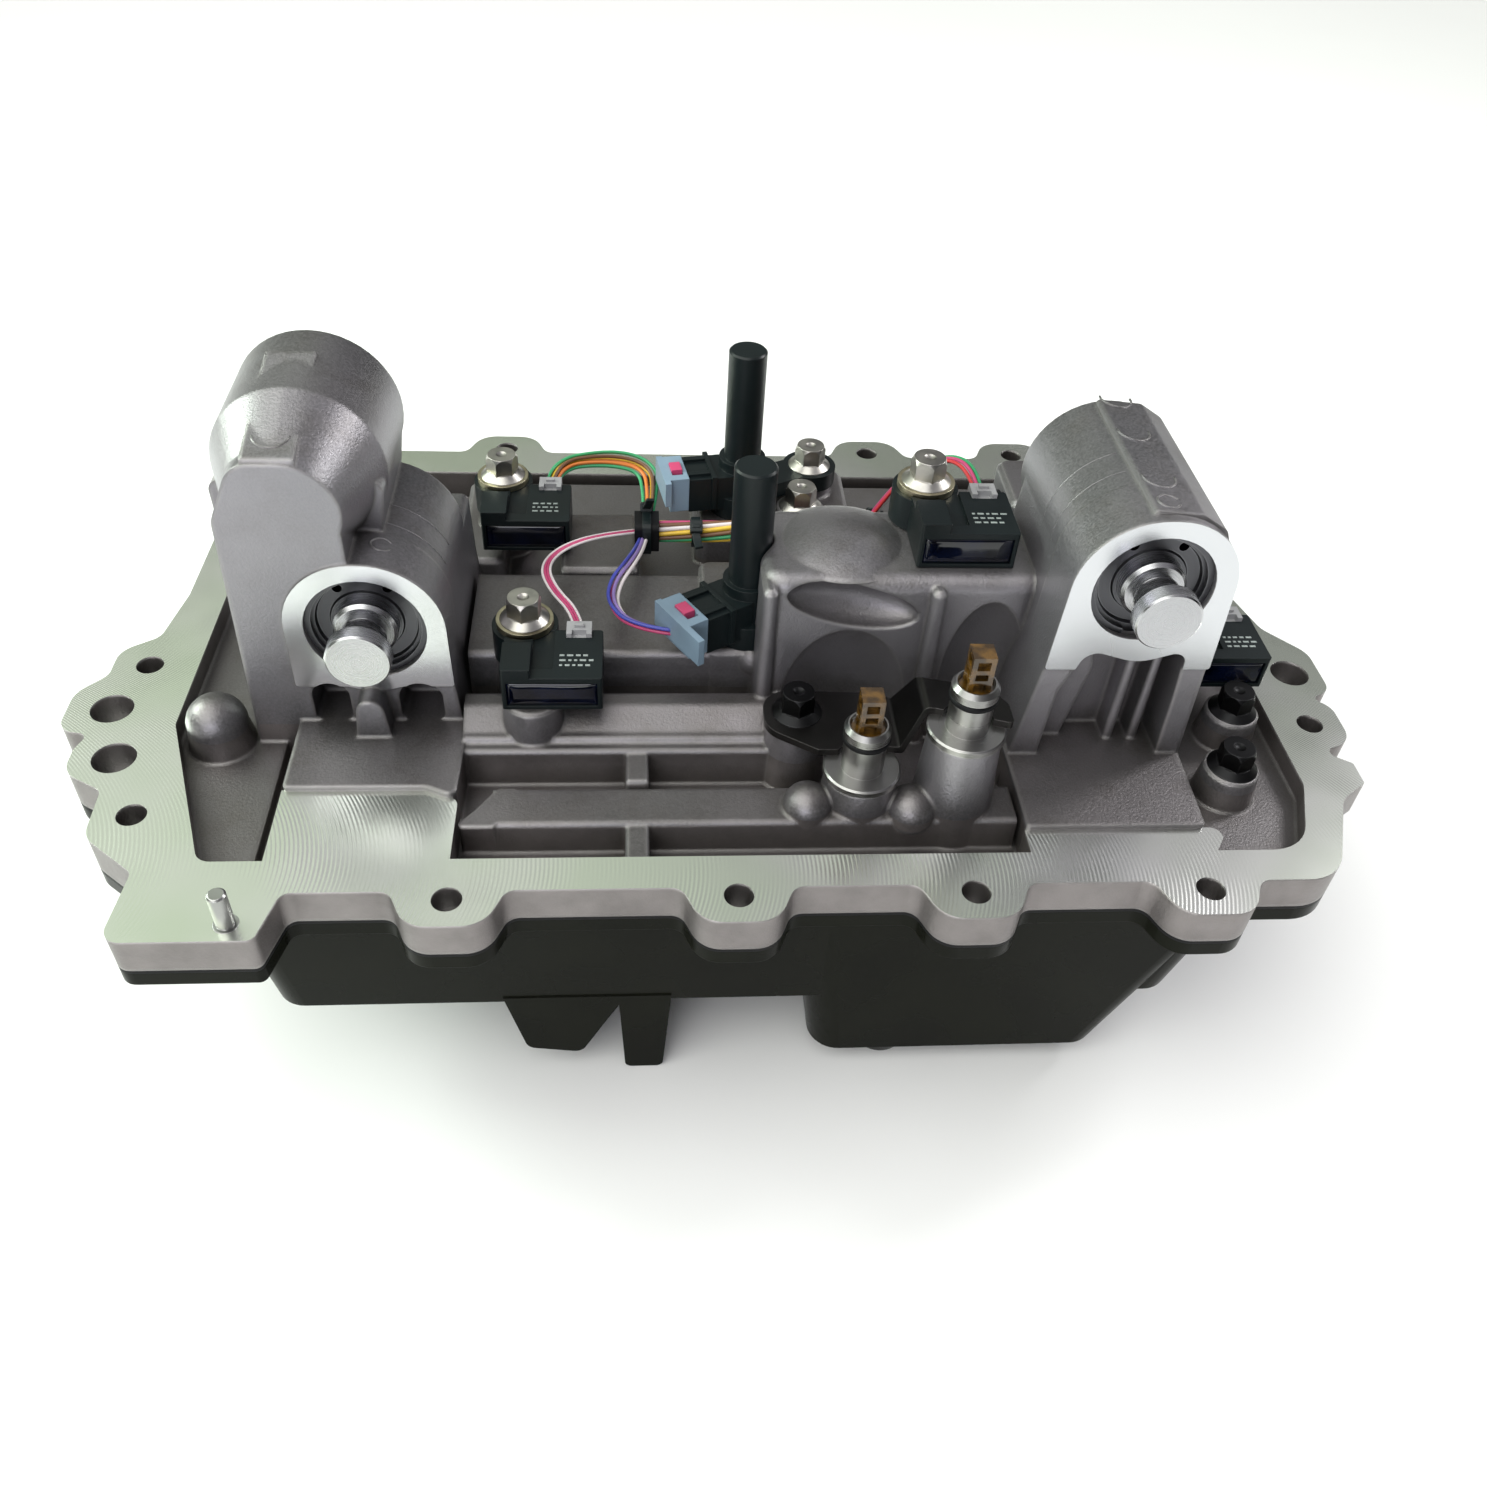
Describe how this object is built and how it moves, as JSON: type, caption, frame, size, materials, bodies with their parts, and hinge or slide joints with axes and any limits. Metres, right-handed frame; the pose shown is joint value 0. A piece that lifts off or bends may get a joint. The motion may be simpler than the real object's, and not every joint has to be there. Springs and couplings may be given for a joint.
{
  "type": "transmission valve body",
  "caption": "Transmission valve body: cast flanged housing with shift cylinders, position and speed sensors, oil nozzles and wiring, closed below by a dark moulded oil cover.",
  "frame": {"origin": "centre of the four corner bolt holes, on the machined face of the flange", "axes": "+Z out of the machined flange face, away from the oil cover; +X along the long side, to the right seen from the side on which the two front shift cylinders open; +Y away from that side"},
  "size_m": [0.3353, 0.2113, 0.1621],
  "materials": {
    "cast_aluminium": "as cast, machined faces bright",
    "black_cover": "moulded, satin",
    "black_plastic": "moulded, fine texture",
    "grey_plastic": "moulded",
    "blue_grey_plastic": "moulded",
    "pink_plastic": "moulded",
    "amber_plastic": "translucent",
    "zinc_steel": "zinc plated",
    "yellow_zinc": "yellow passivated",
    "black_steel": "blackened",
    "dark_steel": "phosphated",
    "steel": "turned",
    "rubber": "matt",
    "wire": "wire insulation",
    "board": "solder resist"
  },
  "bodies": {
    "body": {"valve_housing": "cast_aluminium", "oil_cover": "black_cover", "cover_gasket": "rubber", "cover_screws": "black_steel", "separator_plate": "steel", "valve_block": "cast_aluminium", "control_board": "board", "main_connector": "black_plastic", "dowel_pin": "steel", "sensor_bolts": "zinc_steel", "sensor_washers": "yellow_zinc", "speed_sensor_bolts": "zinc_steel", "clamp_bolt": "zinc_steel", "plate_bolt": "black_steel", "pad_bolts": "black_steel", "retaining_plate": "dark_steel", "nozzle_seals": "rubber", "harness_wraps": "rubber", "harness_grommet": "rubber", "harness_conduit": "rubber", "harness_trunk": "wire", "sensor_lead_1": "wire", "sensor_lead_2": "wire", "sensor_lead_3": "wire", "speed_lead_front": "wire", "guide_disc_left": "dark_steel", "snap_ring_left": "dark_steel", "guide_disc_right": "dark_steel", "snap_ring_right": "dark_steel", "guide_disc_rear": "dark_steel", "snap_ring_rear": "dark_steel", "position_sensor_1": "black_plastic", "sensor_plug_1": "grey_plastic", "solenoid_valve_1": "dark_steel", "position_sensor_2": "black_plastic", "sensor_plug_2": "grey_plastic", "solenoid_valve_2": "dark_steel", "position_sensor_3": "black_plastic", "sensor_plug_3": "grey_plastic", "solenoid_valve_3": "dark_steel", "position_sensor_4": "black_plastic", "sensor_plug_4": "grey_plastic", "solenoid_valve_4": "dark_steel", "speed_sensor_front": "black_plastic", "speed_plug_front": "blue_grey_plastic", "speed_sensor_rear": "black_plastic", "speed_plug_rear": "blue_grey_plastic", "nozzle_1": "steel", "nozzle_filter_1": "amber_plastic", "nozzle_2": "steel", "nozzle_filter_2": "amber_plastic"},
    "piston_left": {"shift_piston_left": "steel", "piston_seal_left": "rubber"},
    "piston_right": {"shift_piston_right": "steel", "piston_seal_right": "rubber"},
    "piston_rear": {"shift_piston_rear": "steel", "piston_seal_rear": "rubber"},
    "latch_front": {"plug_latch_front": "pink_plastic"},
    "latch_rear": {"plug_latch_rear": "pink_plastic"}
  },
  "joints": [
    {"name": "shift_slide_left", "type": "slide", "parent": "body", "child": "piston_left", "axis": [0, -1, 0], "range_m": [-0.006, 0.008]},
    {"name": "shift_slide_right", "type": "slide", "parent": "body", "child": "piston_right", "axis": [0, -1, 0], "range_m": [-0.006, 0.008]},
    {"name": "shift_slide_rear", "type": "slide", "parent": "body", "child": "piston_rear", "axis": [0, 1, 0], "range_m": [-0.006, 0.008]},
    {"name": "latch_slide_front", "type": "slide", "parent": "body", "child": "latch_front", "axis": [0.5299, -0.848, 0], "range_m": [0, 0.0016]},
    {"name": "latch_slide_rear", "type": "slide", "parent": "body", "child": "latch_rear", "axis": [0.1736, -0.9848, 0], "range_m": [0, 0.0016]}
  ]
}
